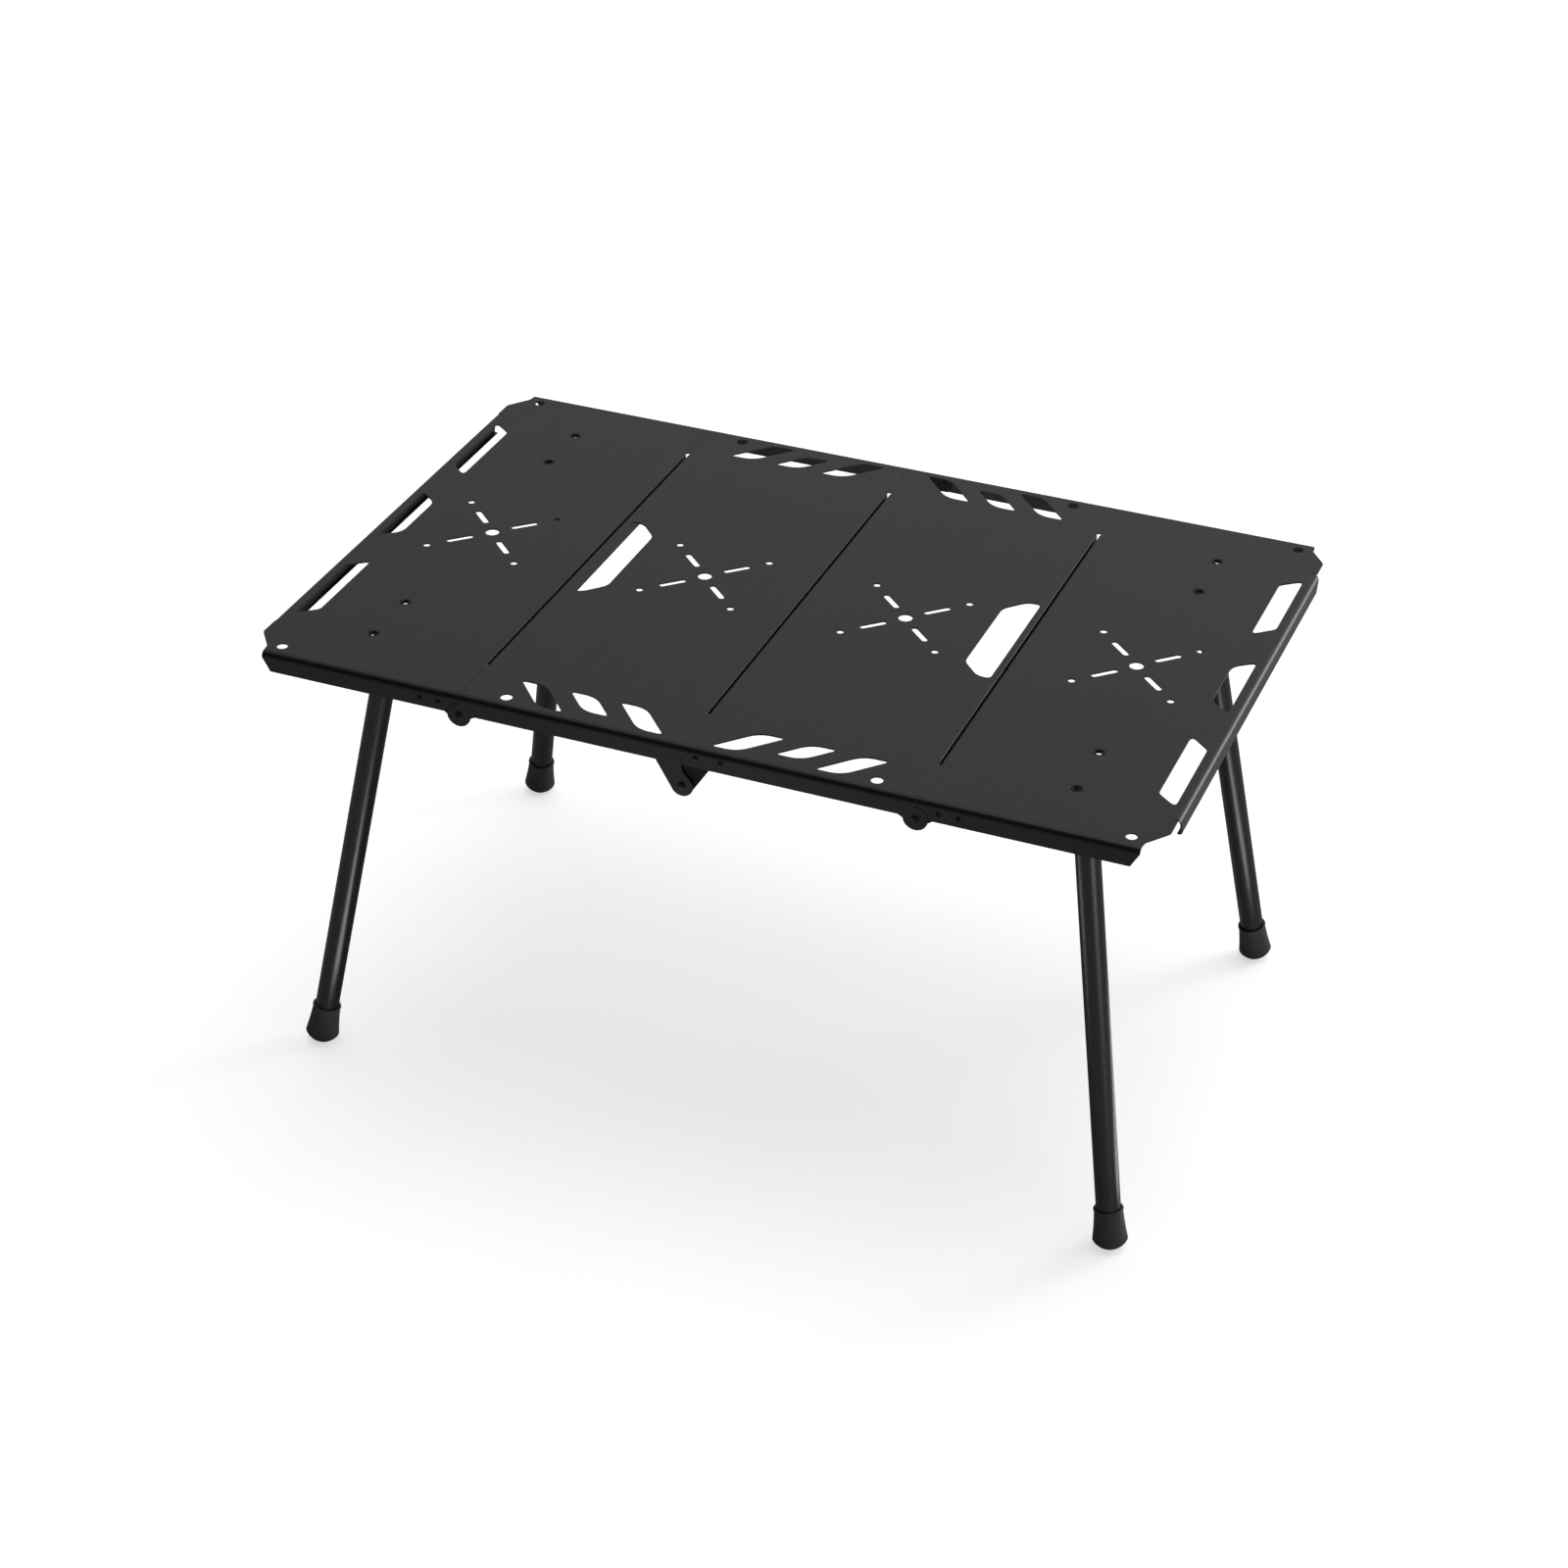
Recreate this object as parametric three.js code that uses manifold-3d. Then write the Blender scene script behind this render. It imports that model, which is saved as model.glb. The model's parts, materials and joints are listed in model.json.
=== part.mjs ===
import * as THREE from 'three';
import { mergeVertices } from 'three/addons/utils/BufferGeometryUtils.js';
import Module from 'manifold-3d';

// A four-panel folding table with swing-out legs. Millimetres, +Z up. The origin is on the
// floor under the middle of the top, X runs along the long side and Y towards the back.

const wasm = await Module();
wasm.setup();

// Overall size
const topHeight = 480;
const halfLength = 453;
const halfWidth = 300;

// Sheet-metal panels
const sheet = 1.5;
const bend = 4;
const seamBend = 1.6;
const seamGap = 2.4;
const flangeDepth = 20;
const seamLip = 6;
const clearance = 0.3;
const seamX = 226;
const seamFlangeHalf = 234.2;
const reliefY = 236;
const reliefRadius = 2.3;
const frontFlangeEnd = { top: 433, bottom: 425 };
const cornerCut = { sideY: 265, frontX: 434, frontY: 287 };
const sideLip = 4.5;
const sideBend = 6;
const sideLipBend = 3;
const sideFlangeEnd = { top: 241, bottom: 234 };
const cornerEdge = 450.5;

// Hinges: the outer seams turn one tray depth down, the middle seam two
const outerPivotDrop = 21;
const centrePivotDrop = 42.5;
const lobeRadius = 12;
const centreLobeRadius = 11;
const notchRadius = 12.6;
const hingePlateThickness = 1.5;
const pivotRadius = 2.5;
const pivotHead = { radius: 3.6, height: 0.9 };
const rivetRadius = 1.6;
const rivetHead = { radius: 2.5, height: 0.7 };

// Legs
const legPivot = new THREE.Vector3(350, 196, topHeight - 18.5);
const footSpot = new THREE.Vector3(425, 260, 0);
const tubeRadius = 12;
const tubeWall = 1.5;
const foldSkew = 0.0963;
const foldDrop = 0.008;
const pinRadius = 3;
const pinHead = { radius: 4.6, height: 1.6 };
const bracketRivetX = 352;
const bracketRivetY = [161.6, 227.4];
const bracketRivetRadius = 4.4;
const bracketRivetBore = 3.8;
const bracketThickness = 1.2;
const bracketRim = { inner: 17, outer: 13, ends: 10, corner: 5 };
const footHeight = 42.8;

// Facets of round stretches
const bendSteps = 3;
const cornerSteps = 2;
const legSides = 16;
const rivetSides = 8;
const pivotSides = 10;
const holeSides = 10;
const dotSides = 8;
const middleHoleSides = 12;
const lobeSteps = 9;
const lugSteps = 7;

// ---------------------------------------------------------------- solids and outlines

const vec2 = (x, y) => new THREE.Vector2(x, y);

// A closed geometry with shared vertices and no triangle of zero area
function closed(geometry) {
  geometry.deleteAttribute('normal');
  geometry.deleteAttribute('uv');
  const merged = mergeVertices(geometry, 1e-4);
  const kept = [];
  for (let i = 0; i < merged.index.count; i += 3) {
    const [a, b, c] = [0, 1, 2].map((k) => merged.index.getX(i + k));
    if (a !== b && b !== c && c !== a) kept.push(a, b, c);
  }
  merged.setIndex(kept);
  return merged;
}

function solid(geometry) {
  const merged = closed(geometry);
  return new wasm.Manifold(new wasm.Mesh({
    numProp: 3,
    vertProperties: new Float32Array(merged.attributes.position.array),
    triVerts: new Uint32Array(merged.index.array),
  }));
}

function geometryOf(manifold) {
  const { vertProperties, triVerts } = manifold.getMesh();
  const geometry = new THREE.BufferGeometry();
  geometry.setAttribute('position', new THREE.BufferAttribute(vertProperties, 3));
  geometry.setIndex(new THREE.BufferAttribute(triVerts, 1));
  return geometry;
}

const joined = (solids) => solids.reduce((sum, next) => sum.add(next));
const cutBy = (body, cutters) => cutters.reduce((rest, cutter) => rest.subtract(cutter), body);

function mirroredX(geometry) {
  const copy = geometry.clone().scale(-1, 1, 1);
  const index = Array.from(copy.index.array);
  for (let i = 0; i < index.length; i += 3) [index[i], index[i + 1]] = [index[i + 1], index[i]];
  copy.setIndex(index);
  return copy;
}

// Outlines drawn in one plane and drawn out along the third axis, from low to high
function prismXY(outline, low, high) {
  const shape = new THREE.Shape(outline);
  return solid(new THREE.ExtrudeGeometry(shape, { depth: high - low, bevelEnabled: false })
    .translate(0, 0, low));
}

function prismXZ(outline, low, high) {
  const shape = new THREE.Shape(outline);
  return solid(new THREE.ExtrudeGeometry(shape, { depth: high - low, bevelEnabled: false })
    .rotateX(Math.PI / 2)
    .translate(0, high, 0));
}

const yzPlane = new THREE.Matrix4().makeBasis(
  new THREE.Vector3(0, 1, 0),
  new THREE.Vector3(0, 0, 1),
  new THREE.Vector3(1, 0, 0),
);

function prismYZ(outline, low, high) {
  const shape = new THREE.Shape(outline);
  return solid(new THREE.ExtrudeGeometry(shape, { depth: high - low, bevelEnabled: false })
    .applyMatrix4(yzPlane)
    .translate(low, 0, 0));
}

function arc(centreX, centreY, radius, fromDegrees, toDegrees, steps) {
  return Array.from({ length: steps + 1 }, (_, i) => {
    const angle = THREE.MathUtils.degToRad(fromDegrees + (toDegrees - fromDegrees) * i / steps);
    return vec2(centreX + radius * Math.cos(angle), centreY + radius * Math.sin(angle));
  });
}

const circle = (x, y, radius, sides) => arc(x, y, radius, 0, 360 - 360 / sides, sides - 1);

// A polygon with rounded corners; cuts says how far from each corner its curve starts
function rounded(corners, cuts) {
  return corners.flatMap((corner, i) => {
    const before = corners[(i + corners.length - 1) % corners.length];
    const after = corners[(i + 1) % corners.length];
    const start = before.clone().sub(corner).setLength(cuts[i]).add(corner);
    const end = after.clone().sub(corner).setLength(cuts[i]).add(corner);
    return new THREE.QuadraticBezierCurve(start, corner, end).getPoints(cornerSteps);
  });
}

// A slot with round ends between two points
function capsule(from, to, width) {
  const angle = THREE.MathUtils.radToDeg(Math.atan2(to.y - from.y, to.x - from.x));
  return [
    ...arc(to.x, to.y, width / 2, angle - 90, angle + 90, 3),
    ...arc(from.x, from.y, width / 2, angle + 90, angle + 270, 3),
  ];
}

// ---------------------------------------------------------------- panels

const flipX = (points) => points.map((p) => vec2(-p.x, p.y));
const flipY = (points) => points.map((p) => vec2(p.x, -p.y));
const raise = (points) => points.map((p) => vec2(p.x, p.y + topHeight));

// The section of a bent edge, u outwards and z up from the upper face, with its outer face at edge;
// radius is the upper bend's and footRadius that of the bend into the return lip, if there is one
function bentEdge(edge, drop, lip, radius = bend, footRadius = bend) {
  const overlap = 1;
  const start = edge - radius;
  const footStart = edge - footRadius;
  const outside = [vec2(start - overlap, 0), ...arc(start, -radius, radius, 90, 0, bendSteps)];
  const inside = [
    ...arc(start, -radius, radius - sheet, 0, 90, bendSteps),
    vec2(start - overlap, -sheet),
  ];
  const foot = lip > 0
    ? [
      ...arc(footStart, footRadius - drop, footRadius, 0, -90, bendSteps),
      vec2(edge - lip, -drop),
      vec2(edge - lip, sheet - drop),
      ...arc(footStart, footRadius - drop, footRadius - sheet, -90, 0, bendSteps),
    ]
    : [vec2(edge, -drop), vec2(edge - sheet, -drop)];
  return raise([...outside, ...foot, ...inside]);
}

const innerCrossX = 105.3;
const outerCrossX = 337.9;
const edgeHoleSpot = vec2(183.5, 283.9);
const edgeHoleRadius = 5.8;
const cornerHoleSpot = vec2(420, 282.8);
const cornerHoleRadius = 5.3;

// Hole patterns of the upper face, each a list of outlines
function crossPattern(centreX) {
  const middleRadius = 7;
  const barStart = vec2(16, 17.5);
  const barEnd = vec2(31.5, 32.5);
  const barWidth = 6;
  const dot = vec2(48.2, 49.9);
  const dotRadius = 3.5;
  const quadrant = (sx, sy) => [
    capsule(
      vec2(centreX + sx * barStart.x, sy * barStart.y),
      vec2(centreX + sx * barEnd.x, sy * barEnd.y),
      barWidth,
    ),
    circle(centreX + sx * dot.x, sy * dot.y, dotRadius, dotSides),
  ];
  const quadrants = [[1, 1], [1, -1], [-1, 1], [-1, -1]].flatMap(([sx, sy]) => quadrant(sx, sy));
  return [circle(centreX, 0, middleRadius, middleHoleSides), ...quadrants];
}

// Three leaning slots along the front edge of an inner panel; the middle one is shorter
function leaningSlots() {
  const pitch = 50.6;
  const slotWidth = 26;
  const lean = 1 / 1.12;
  const top = -250.5;
  const sharpCut = 6;
  const bluntCut = 12;
  return [0, 1, 2].map((i) => {
    const bottom = i === 1 ? -278.5 : -288;
    const topLeft = 56.7 + i * pitch;
    const bottomLeft = topLeft + (bottom - top) * lean;
    return rounded([
      vec2(bottomLeft, bottom),
      vec2(bottomLeft + slotWidth, bottom),
      vec2(topLeft + slotWidth, top),
      vec2(topLeft, top),
    ], [sharpCut, bluntCut, sharpCut, bluntCut]);
  });
}

const handleSlot = rounded(
  [vec2(185.5, -55), vec2(205, -76), vec2(218, -76), vec2(218, 76), vec2(205, 76), vec2(185.5, 55)],
  [7, 7, 5, 5, 7, 7],
);
const sideSlot = rounded(
  [vec2(421.5, 101), vec2(421.5, 206), vec2(441.5, 222), vec2(441.5, 119)],
  [8, 4, 8, 4],
);
const middleSideSlot = rounded(
  [vec2(421.5, -35), vec2(421.5, 35), vec2(441.5, 50), vec2(441.5, -50)],
  [9, 9, 7, 7],
);

const cutThrough = (outlines) => outlines.map(
  (outline) => prismXY(outline, topHeight - sheet - 1, topHeight + 1),
);

const boreY = (x, z, radius, sides) => prismXZ(
  circle(x, z, radius, sides),
  -halfWidth - 5,
  halfWidth + 5,
);

// Places of the rivets that hold the hinge plates, as drops below the upper face
const outerHingeRivets = [vec2(seamX + 21, 11.5), vec2(seamX + 40, 11.5)];
const centreHingeRivets = [vec2(13.5, 10), vec2(38, 10)];

// Front and back walls of a panel, from their view along Y
function endWalls(outline) {
  const front = prismXZ(raise(outline), -halfWidth, sheet - halfWidth);
  const back = prismXZ(raise(outline), halfWidth - sheet, halfWidth);
  return [front, back];
}

function endBends(fromX, toX) {
  const section = bentEdge(halfWidth, bend + 0.5, 0);
  return [prismYZ(section, fromX, toX), prismYZ(flipX(section), fromX, toX)];
}

function seamFlange(x, facing) {
  const section = bentEdge(facing * x - seamGap / 2, flangeDepth, seamLip, seamBend);
  return prismXZ(facing > 0 ? section : flipX(section), -seamFlangeHalf, seamFlangeHalf);
}

const seamReliefs = (x) => [-reliefY, reliefY].map(
  (y) => prismXY(circle(x, y, reliefRadius, dotSides), topHeight - flangeDepth - 1, topHeight + 1),
);

// Flat sheet between two seams, set back where the seam flanges bend down
function seamSheetEdge(x, facing) {
  const edge = x - facing * clearance / 2;
  const setBack = x - facing * (seamGap / 2 + seamBend);
  const straightHalf = halfWidth - bend;
  return [vec2(edge, -straightHalf), vec2(edge, -reliefY), vec2(setBack, -reliefY),
    vec2(setBack, reliefY), vec2(edge, reliefY), vec2(edge, straightHalf)];
}

// The right inner panel; the one that carries the middle lug is its mirror image
function innerPanel(withCentreLug) {
  const atCentre = seamSheetEdge(0, -1);
  const atSeam = seamSheetEdge(seamX, 1);
  const flat = prismXY([...atCentre.reverse(), ...atSeam], topHeight - sheet, topHeight);
  const lobe = arc(seamX, -outerPivotDrop, lobeRadius, 188, 450, lobeSteps);
  const lugTip = arc(0, -centrePivotDrop, centreLobeRadius, 137, 329.6, lugSteps);
  const centreEdge = clearance / 2;
  const lug = withCentreLug
    ? [vec2(centreEdge, -22.5), vec2(-0.6, -27), ...lugTip, vec2(26, -flangeDepth)]
    : [vec2(centreEdge, -flangeDepth)];
  const wall = [
    vec2(centreEdge, -bend),
    ...lug,
    vec2(seamX - 16.5, -flangeDepth),
    ...lobe,
    vec2(seamX - clearance / 2, lobeRadius - outerPivotDrop),
    vec2(seamX - clearance / 2, -bend),
  ];
  const body = joined([
    flat,
    ...endBends(centreEdge, seamX - clearance / 2),
    ...endWalls(wall),
    seamFlange(seamX, 1),
    seamFlange(0, -1),
  ]);
  const edgeHole = circle(edgeHoleSpot.x, edgeHoleSpot.y, edgeHoleRadius, holeSides);
  const topCuts = [
    handleSlot,
    edgeHole,
    flipY(edgeHole),
    ...crossPattern(innerCrossX),
    ...leaningSlots(),
    ...leaningSlots().map(flipY),
  ];
  const rivetBores = withCentreLug ? [] : centreHingeRivets.map(
    (spot) => boreY(spot.x, topHeight - spot.y, rivetRadius + clearance, rivetSides),
  );
  const lugBores = withCentreLug
    ? [boreY(0, topHeight - centrePivotDrop, pivotRadius + clearance, pivotSides)]
    : [];
  return cutBy(body, [
    ...cutThrough(topCuts),
    ...seamReliefs(0),
    ...seamReliefs(seamX),
    boreY(seamX, topHeight - outerPivotDrop, pivotRadius + clearance, pivotSides),
    ...lugBores,
    ...rivetBores,
  ]);
}

// Countersunk hole for a bracket rivet
function bracketRivetHole(y) {
  const hole = bracketRivetRadius + clearance;
  const countersink = 1.2;
  const profile = [vec2(0, -5), vec2(hole, -5), vec2(hole, -1), vec2(hole + countersink, 0.2),
    vec2(hole + countersink, 1), vec2(0, 1)];
  return solid(new THREE.LatheGeometry(profile, pivotSides).rotateX(Math.PI / 2)
    .translate(bracketRivetX, y, topHeight));
}

// The side flange runs between the corners and its ends slant back towards its foot
function sideFlange() {
  const section = bentEdge(halfLength, flangeDepth, sideLip, sideBend, sideLipBend);
  const below = -flangeDepth - 1;
  const past = sideFlangeEnd.top + 1;
  const slant = raise([
    vec2(sideFlangeEnd.top, -sheet),
    vec2(sideFlangeEnd.bottom, below),
    vec2(past, below),
    vec2(past, -sheet),
  ]);
  const reach = [halfLength - sideBend - sideLip, halfLength + 1];
  return cutBy(prismXZ(section, -sideFlangeEnd.top, sideFlangeEnd.top), [
    prismYZ(slant, ...reach),
    prismYZ(flipX(slant), ...reach),
  ]);
}

// The right outer panel; the left one is its mirror image
function outerPanel() {
  const straightHalf = halfWidth - bend;
  const farEdge = halfLength - sideBend;
  const slitDepth = 0.6;
  const slitWidth = 1;
  const quarter = [
    vec2(farEdge, sideFlangeEnd.top),
    vec2(farEdge - slitDepth, sideFlangeEnd.top),
    vec2(farEdge - slitDepth, sideFlangeEnd.top + slitWidth),
    vec2(cornerEdge, sideFlangeEnd.top + slitWidth + slitDepth),
    vec2(cornerEdge, cornerCut.sideY),
    vec2(cornerCut.frontX, cornerCut.frontY),
    vec2(frontFlangeEnd.top, straightHalf),
  ];
  const flat = prismXY([
    ...seamSheetEdge(seamX, -1),
    ...[...quarter].reverse(),
    ...flipY(quarter),
  ], topHeight - sheet, topHeight);
  const nearEdge = seamX + clearance / 2;
  const notch = arc(seamX, -outerPivotDrop, notchRadius, 4.5, 89.3, 5);
  const wall = [
    vec2(nearEdge, -bend),
    ...notch.reverse(),
    vec2(seamX + notchRadius, -flangeDepth),
    vec2(frontFlangeEnd.bottom, -flangeDepth),
    vec2(frontFlangeEnd.top, -bend),
  ];
  const body = joined([
    flat,
    ...endBends(nearEdge, frontFlangeEnd.top),
    ...endWalls(wall),
    seamFlange(seamX, -1),
    sideFlange(),
  ]);
  const cornerHole = circle(cornerHoleSpot.x, cornerHoleSpot.y, cornerHoleRadius, holeSides);
  const topCuts = [
    cornerHole,
    flipY(cornerHole),
    middleSideSlot,
    sideSlot,
    flipY(sideSlot),
    ...crossPattern(outerCrossX),
  ];
  return cutBy(body, [
    ...cutThrough(topCuts),
    ...seamReliefs(seamX),
    ...bracketRivetY.flatMap((y) => [bracketRivetHole(y), bracketRivetHole(-y)]),
    ...outerHingeRivets.map(
      (spot) => boreY(spot.x, topHeight - spot.y, rivetRadius + clearance, rivetSides),
    ),
  ]);
}

// ---------------------------------------------------------------- hinge plates and rivets

const plateFrom = halfWidth - sheet - clearance - hingePlateThickness;

// Plates stand behind the front and back walls; end is -1 at the front and 1 at the back
function hingePlate(outline, bores, end) {
  const low = end < 0 ? -plateFrom - hingePlateThickness : plateFrom;
  const plate = prismXZ(raise(outline), low, low + hingePlateThickness);
  return cutBy(plate, bores.map((b) => boreY(b.x, topHeight - b.y, b.radius, rivetSides)));
}

const withRadius = (spots, radius) => spots.map((p) => ({ x: p.x, y: p.y, radius }));

function outerHingePlate(end) {
  const outline = [
    ...arc(seamX, -outerPivotDrop, 10, 110, 290, 6),
    vec2(seamX + 18, -flangeDepth + 0.5),
    vec2(seamX + 48, -flangeDepth + 0.5),
    vec2(seamX + 48, -6),
    vec2(seamX + 12, -6),
  ];
  const bores = [
    ...withRadius(outerHingeRivets, rivetRadius + clearance),
    { x: seamX, y: outerPivotDrop, radius: pivotRadius + clearance },
  ];
  return hingePlate(outline, bores, end);
}

function centreHingePlate(end) {
  const outline = [
    ...arc(0, -centrePivotDrop, 10.6, 165, 330, 6),
    vec2(27, -flangeDepth),
    vec2(46, -flangeDepth + 0.5),
    vec2(46, -5.5),
    vec2(3, -5.5),
  ];
  const bores = [
    ...withRadius(centreHingeRivets, rivetRadius + clearance),
    { x: 0, y: centrePivotDrop, radius: pivotRadius + clearance },
  ];
  return hingePlate(outline, bores, end);
}

// A rivet along Y through a wall and the hinge plate behind it
function wallRivet(x, drop, shank, head, end, sides) {
  const outer = halfWidth + clearance;
  const inner = plateFrom - clearance;
  const profile = [
    vec2(0, inner - head.height),
    vec2(head.radius, inner - head.height),
    vec2(head.radius, inner),
    vec2(shank, inner),
    vec2(shank, outer),
    vec2(head.radius, outer),
    vec2(head.radius, outer + head.height),
    vec2(0, outer + head.height),
  ];
  const geometry = closed(new THREE.LatheGeometry(profile, sides));
  if (end < 0) geometry.rotateX(Math.PI);
  return geometry.translate(x, 0, topHeight - drop);
}

// ---------------------------------------------------------------- legs

// Everything about a leg is worked out for the right side; the left side is its mirror image.
// end is -1 at the front and 1 at the back; the two folded legs of a panel lie side by side.
function legLayout(end) {
  const pivot = new THREE.Vector3(legPivot.x, end * legPivot.y, legPivot.z);
  const foot = new THREE.Vector3(footSpot.x, end * footSpot.y, footSpot.z);
  const down = foot.clone().sub(pivot);
  const length = down.length();
  down.normalize();
  const folded = new THREE.Vector3(-end * foldSkew, -end, -foldDrop).normalize();
  const axis = down.clone().cross(folded).normalize();
  const up = down.clone().negate();
  const side = up.clone().cross(axis);
  const frame = new THREE.Matrix4().makeBasis(axis, side, up).setPosition(pivot);
  return { pivot, foot, down, folded, axis, length, frame };
}

// A turned solid about the leg's own line, heights measured up from the pivot
function turned(profile, layout, sides) {
  return solid(new THREE.LatheGeometry(profile, sides).rotateX(Math.PI / 2)
    .applyMatrix4(layout.frame));
}

function acrossLeg(radius, halfSpan, layout, sides) {
  return solid(new THREE.CylinderGeometry(radius, radius, 2 * halfSpan, sides)
    .rotateZ(Math.PI / 2)
    .applyMatrix4(layout.frame));
}

const tubeTop = 4;
const tubeEndAboveFoot = 9;
const plugLength = 20;
const cheekGap = 0.6;
const cheekThickness = 2;

function legTube(layout) {
  const bottom = tubeEndAboveFoot - layout.length;
  const innerRadius = tubeRadius - tubeWall;
  const profile = [
    vec2(innerRadius, bottom),
    vec2(tubeRadius, bottom),
    vec2(tubeRadius, tubeTop),
    vec2(innerRadius, tubeTop),
    vec2(innerRadius, bottom),
  ];
  return turned(profile, layout, legSides).subtract(
    acrossLeg(pinRadius + clearance, tubeRadius + 5, layout, rivetSides),
  );
}

function legPlug(layout) {
  const stem = tubeRadius - tubeWall - clearance;
  const seat = tubeTop + clearance;
  const dome = 12.6;
  const startAngle = THREE.MathUtils.radToDeg(Math.asin(seat / dome));
  const profile = [
    vec2(0, -plugLength),
    vec2(stem, -plugLength),
    vec2(stem, seat),
    ...arc(0, 0, dome, startAngle, 90, 4).slice(0, -1),
    vec2(0, dome),
  ];
  return turned(profile, layout, 12).subtract(
    acrossLeg(pinRadius + clearance, 20, layout, rivetSides),
  );
}

function footCap(layout) {
  const base = -layout.length;
  const rimRadius = 14;
  const ballRadius = 19;
  const ballHeight = 17.6;
  const widest = THREE.MathUtils.radToDeg(Math.asin((9.2 - ballHeight) / ballRadius));
  const bore = tubeRadius + clearance;
  const socketFloor = tubeEndAboveFoot - clearance;
  const profile = [
    ...arc(0, ballHeight, ballRadius, -90, widest, 4),
    vec2(rimRadius, footHeight),
    vec2(bore, footHeight),
    vec2(bore, socketFloor),
    vec2(0, socketFloor),
  ].map((p) => vec2(Math.max(p.x, 0), p.y + base));
  profile[0].x = 0;
  const belowFloor = prismXY(circle(layout.foot.x, layout.foot.y, 40, 8), -20, 0);
  return turned(profile, layout, legSides).subtract(belowFloor);
}

// Bracket: a base riveted under the sheet, two cheeks square to the pin and a web behind the leg
function legBracket(layout, end) {
  const baseTop = topHeight - sheet - clearance;
  const cheekFrom = tubeRadius + cheekGap;
  const cheekTo = cheekFrom + cheekThickness;
  const webFrom = 13;
  const webTo = 15;
  const [nearY, farY] = bracketRivetY;
  const baseEnds = [end * (nearY - bracketRim.ends), end * (farY + bracketRim.ends)];
  const base = prismXY(rounded([
    vec2(bracketRivetX - bracketRim.inner, baseEnds[0]),
    vec2(bracketRivetX + bracketRim.outer, baseEnds[0]),
    vec2(bracketRivetX + bracketRim.outer, baseEnds[1]),
    vec2(bracketRivetX - bracketRim.inner, baseEnds[1]),
  ], Array(4).fill(bracketRim.corner)), baseTop - bracketThickness, baseTop);
  const cheekOutline = [
    vec2(18, 24),
    vec2(15, 2),
    ...arc(0, 0, 9, 0, -180, 5),
    vec2(-15, 2),
    vec2(-18, 24),
  ];
  const web = [vec2(webFrom, 24), vec2(webTo, 24), vec2(webTo, -2), vec2(webFrom, -2)];
  // The web stands on the side of the leg that faces the table's outside
  const intoLeg = layout.frame.clone().invert();
  const outside = new THREE.Vector3(0, end, 0).transformDirection(intoLeg).y > 0 ? 1 : -1;
  const prismAcross = (outline, low, high) => {
    const shape = new THREE.Shape(outline);
    return solid(new THREE.ExtrudeGeometry(shape, { depth: high - low, bevelEnabled: false })
      .applyMatrix4(yzPlane)
      .translate(low, 0, 0)
      .applyMatrix4(layout.frame));
  };
  const trim = prismXY(circle(layout.pivot.x, layout.pivot.y, 90, 8), baseTop - 0.8, topHeight + 60);
  const upper = joined([
    prismAcross(cheekOutline, cheekFrom, cheekTo),
    prismAcross(cheekOutline, -cheekTo, -cheekFrom),
    prismAcross(outside > 0 ? web : flipX(web), -cheekTo, cheekTo),
  ]).subtract(trim);
  const rivetBores = bracketRivetY.map((y) => prismXY(
    circle(bracketRivetX, end * y, bracketRivetRadius + clearance, pivotSides),
    topHeight - 60,
    topHeight,
  ));
  return cutBy(joined([base, upper]), [
    ...rivetBores,
    acrossLeg(pinRadius + clearance, 30, layout, rivetSides),
  ]);
}

function legPin(layout) {
  const shoulder = tubeRadius + cheekGap + cheekThickness + clearance;
  const head = pinHead.radius;
  const end = shoulder + pinHead.height;
  const profile = [
    vec2(0, -end),
    vec2(head, -end),
    vec2(head, -shoulder),
    vec2(pinRadius, -shoulder),
    vec2(pinRadius, shoulder),
    vec2(head, shoulder),
    vec2(head, end),
    vec2(0, end),
  ];
  return closed(new THREE.LatheGeometry(profile, rivetSides)
    .rotateZ(-Math.PI / 2)
    .applyMatrix4(layout.frame));
}

// Eyelet, countersunk in the sheet and rolled over under the bracket
function bracketRivet(y) {
  const bottom = -(sheet + clearance + bracketThickness + clearance);
  const roll = { width: 1.2, height: 0.5 };
  const profile = [
    vec2(bracketRivetBore, 0),
    vec2(bracketRivetBore, bottom - roll.height),
    vec2(bracketRivetRadius + roll.width, bottom - roll.height),
    vec2(bracketRivetRadius + roll.width, bottom),
    vec2(bracketRivetRadius, bottom),
    vec2(bracketRivetRadius, -1),
    vec2(bracketRivetRadius + 1, 0),
    vec2(bracketRivetBore, 0),
  ];
  return closed(new THREE.LatheGeometry(profile, pivotSides)
    .rotateX(Math.PI / 2)
    .translate(bracketRivetX, y, topHeight));
}

// ---------------------------------------------------------------- assembly

const coated = new THREE.MeshStandardMaterial({ color: 0x3a3a3c, roughness: 0.62, metalness: 0.25 });
const anodised = new THREE.MeshStandardMaterial({ color: 0x141415, roughness: 0.32, metalness: 0.6 });
const blackSteel = new THREE.MeshStandardMaterial({ color: 0x1a1a1b, roughness: 0.45, metalness: 0.7 });
const rubber = new THREE.MeshStandardMaterial({ color: 0x222223, roughness: 0.85, metalness: 0 });
const plastic = new THREE.MeshStandardMaterial({ color: 0x161617, roughness: 0.5, metalness: 0 });

const table = new THREE.Group();

function addMesh(name, geometry, material) {
  const flat = geometry.index ? geometry.toNonIndexed() : geometry;
  flat.computeVertexNormals();
  const mesh = new THREE.Mesh(flat, material);
  mesh.name = name;
  table.add(mesh);
}

// Adds a right-hand piece and its mirror image
function addPair(right, left, geometry, material) {
  addMesh(right, geometry, material);
  addMesh(left, mirroredX(geometry), material);
}

const ends = [{ name: 'front', end: -1 }, { name: 'back', end: 1 }];

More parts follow.
